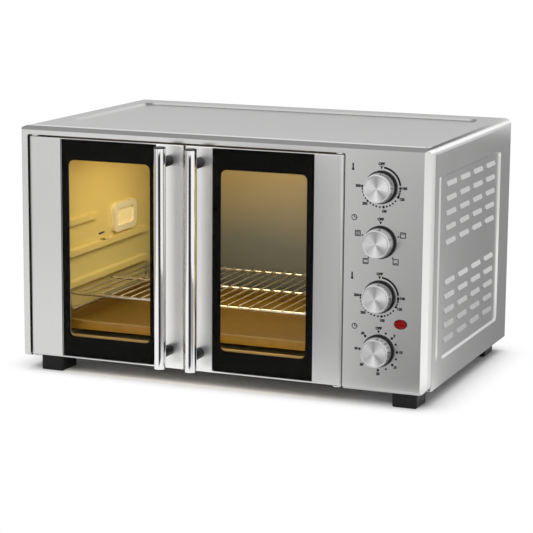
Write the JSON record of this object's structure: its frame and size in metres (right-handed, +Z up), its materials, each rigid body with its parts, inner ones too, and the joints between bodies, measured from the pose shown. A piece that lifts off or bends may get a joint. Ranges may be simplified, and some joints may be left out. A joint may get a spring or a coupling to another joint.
{
  "type": "electric countertop oven",
  "caption": "Free-standing electric countertop oven with a pair of side-hinged glass doors, rotary controls, louvred steel casing, lit cavity, wire rack and baking tray.",
  "frame": {"origin": "on the floor plane under the middle of the overall box", "axes": "+X to the right as seen from the front, +Y to the back, +Z up"},
  "size_m": [0.66, 0.4888, 0.384],
  "materials": {
    "casing_steel": "satin",
    "front_steel": "satin",
    "zinc_steel": "satin",
    "cavity_steel": "satin",
    "tray_enamel": "gloss",
    "handle_chrome": "polished",
    "wire_chrome": "polished",
    "black_plastic": "matte",
    "knob_plastic": "satin",
    "knob_metal": "spun",
    "door_glass": "polished",
    "lamp_glass": "frosted",
    "lens_red": "gloss",
    "heater_steel": "matte",
    "white_ceramic": "matte",
    "control_plastic": "matte",
    "motor_paint": "satin",
    "shaft_steel": "turned"
  },
  "bodies": {
    "casing": {"outer_wrap": "casing_steel", "front_fascia": "front_steel", "rear_panel": "zinc_steel", "base_plate": "zinc_steel", "mouth_frame": "cavity_steel", "cavity_left_wall": "cavity_steel", "cavity_right_wall": "cavity_steel", "cavity_roof": "cavity_steel", "cavity_back": "cavity_steel", "cavity_floor": "cavity_steel", "front_left_foot": "black_plastic", "front_right_foot": "black_plastic", "rear_left_foot": "black_plastic", "rear_right_foot": "black_plastic", "upper_front_heater": "heater_steel", "upper_rear_heater": "heater_steel", "lower_front_heater": "heater_steel", "lower_rear_heater": "heater_steel", "heater_bushes": "white_ceramic", "lamp_bezel": "cavity_steel", "lamp_cover": "lamp_glass", "lamp_housing": "zinc_steel", "lamp_bulb": "lamp_glass", "upper_thermostat": "control_plastic", "function_switch": "control_plastic", "lower_thermostat": "control_plastic", "timer_unit": "control_plastic", "indicator_lamp": "lens_red", "hinge_brackets": "zinc_steel", "door_catches": "black_plastic", "casing_screws": "zinc_steel", "cord_gland": "black_plastic", "spit_motor": "motor_paint"},
    "left_door": {"left_door_pan": "front_steel", "left_door_glass": "door_glass", "left_door_liner": "zinc_steel", "left_handle_bar": "handle_chrome", "left_handle_posts": "black_plastic", "left_handle_plugs": "black_plastic"},
    "right_door": {"right_door_pan": "front_steel", "right_door_glass": "door_glass", "right_door_liner": "zinc_steel", "right_handle_bar": "handle_chrome", "right_handle_posts": "black_plastic", "right_handle_plugs": "black_plastic"},
    "upper_heat_control": {"upper_heat_knob": "knob_plastic", "upper_heat_face": "knob_metal", "upper_heat_shaft": "shaft_steel"},
    "function_control": {"function_knob": "knob_plastic", "function_face": "knob_metal", "function_shaft": "shaft_steel"},
    "lower_heat_control": {"lower_heat_knob": "knob_plastic", "lower_heat_face": "knob_metal", "lower_heat_shaft": "shaft_steel"},
    "timer_control": {"timer_knob": "knob_plastic", "timer_face": "knob_metal", "timer_shaft": "shaft_steel"},
    "spit_drive": {"spit_socket": "shaft_steel"},
    "rack": {"wire_rack": "wire_chrome"},
    "tray": {"baking_tray": "tray_enamel"}
  },
  "joints": [
    {"name": "left_door_hinge", "type": "hinge", "parent": "casing", "child": "left_door", "pos_m": [-0.3024, -0.1949, 0.198], "axis": [0, 0, -1], "range_deg": [0, 100]},
    {"name": "right_door_hinge", "type": "hinge", "parent": "casing", "child": "right_door", "pos_m": [0.1934, -0.1949, 0.198], "axis": [0, 0, 1], "range_deg": [0, 100]},
    {"name": "upper_heat_turn", "type": "hinge", "parent": "casing", "child": "upper_heat_control", "pos_m": [0.259, -0.2034, 0.326], "axis": [0, 1, 0], "range_deg": [0, 270]},
    {"name": "function_turn", "type": "hinge", "parent": "casing", "child": "function_control", "pos_m": [0.259, -0.2034, 0.246], "axis": [0, 1, 0], "range_deg": [0, 285]},
    {"name": "lower_heat_turn", "type": "hinge", "parent": "casing", "child": "lower_heat_control", "pos_m": [0.259, -0.2034, 0.166], "axis": [0, 1, 0], "range_deg": [0, 270]},
    {"name": "timer_turn", "type": "hinge", "parent": "casing", "child": "timer_control", "pos_m": [0.259, -0.2034, 0.086], "axis": [0, 1, 0], "range_deg": [0, 330]},
    {"name": "spit_turn", "type": "hinge", "parent": "casing", "child": "spit_drive", "pos_m": [0.1892, 0.0086, 0.186], "axis": [1, 0, 0], "continuous": true},
    {"name": "rack_slide", "type": "slide", "parent": "casing", "child": "rack", "axis": [0, -1, 0], "range_m": [0, 0.068]},
    {"name": "tray_slide", "type": "slide", "parent": "casing", "child": "tray", "axis": [0, -1, 0], "range_m": [0, 0.024]}
  ]
}
